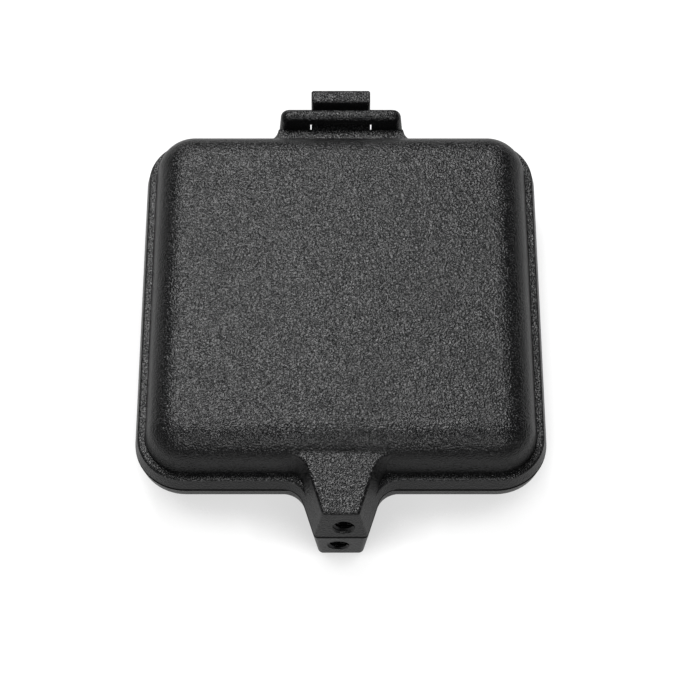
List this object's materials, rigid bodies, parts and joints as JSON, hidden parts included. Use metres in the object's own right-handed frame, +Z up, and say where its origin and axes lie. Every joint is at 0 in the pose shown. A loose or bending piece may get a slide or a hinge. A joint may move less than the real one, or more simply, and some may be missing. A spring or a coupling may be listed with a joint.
{
  "type": "pie iron",
  "caption": "Square hinged cast-iron pie iron head: two dished half shells that close on a flat rim, with a hook hinge and a tapped handle boss on each half.",
  "frame": {"origin": "middle of the lower half's flat outside, where it rests", "axes": "+Z up, square to the closed joint face; -Y towards the handle bosses; +Y towards the hinge; +X to the right seen from the handle end"},
  "size_m": [0.1248, 0.1547, 0.0348],
  "materials": {
    "seasoned_iron": "black seasoned sand casting"
  },
  "bodies": {
    "lower_half": {"lower_iron": "seasoned_iron"},
    "upper_half": {"upper_iron": "seasoned_iron"}
  },
  "joints": [
    {"name": "lid_hinge", "type": "hinge", "parent": "lower_half", "child": "upper_half", "pos_m": [0, 0.0688, 0.02533], "axis": [-1, 0, 0], "range_deg": [0, 180]}
  ]
}
